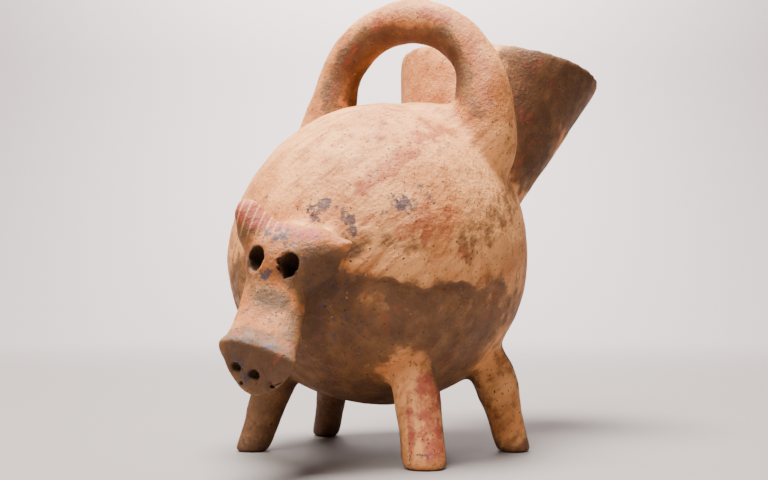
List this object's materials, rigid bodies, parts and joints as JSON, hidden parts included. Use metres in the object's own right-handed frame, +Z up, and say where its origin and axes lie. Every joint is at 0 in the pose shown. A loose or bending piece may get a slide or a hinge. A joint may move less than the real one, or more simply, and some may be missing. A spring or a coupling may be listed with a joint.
{
  "type": "pig-shaped vessel",
  "caption": "Hand-built fired-clay pig vessel: a round hollow body on short legs, with a modelled pig's head, a basket handle and an open funnel spout.",
  "frame": {"origin": "centre of the vessel's box, on the floor that its feet stand on", "axes": "+Z up, -Y where the pig looks, so +Y runs along its length to the spout, and +X to the pig's left"},
  "size_m": [0.0928, 0.1828, 0.1407],
  "materials": {
    "fired_clay": "matte, burnished in places, with worn slip and paint"
  },
  "bodies": {
    "root": {"pig_vessel": "fired_clay"}
  },
  "joints": []
}
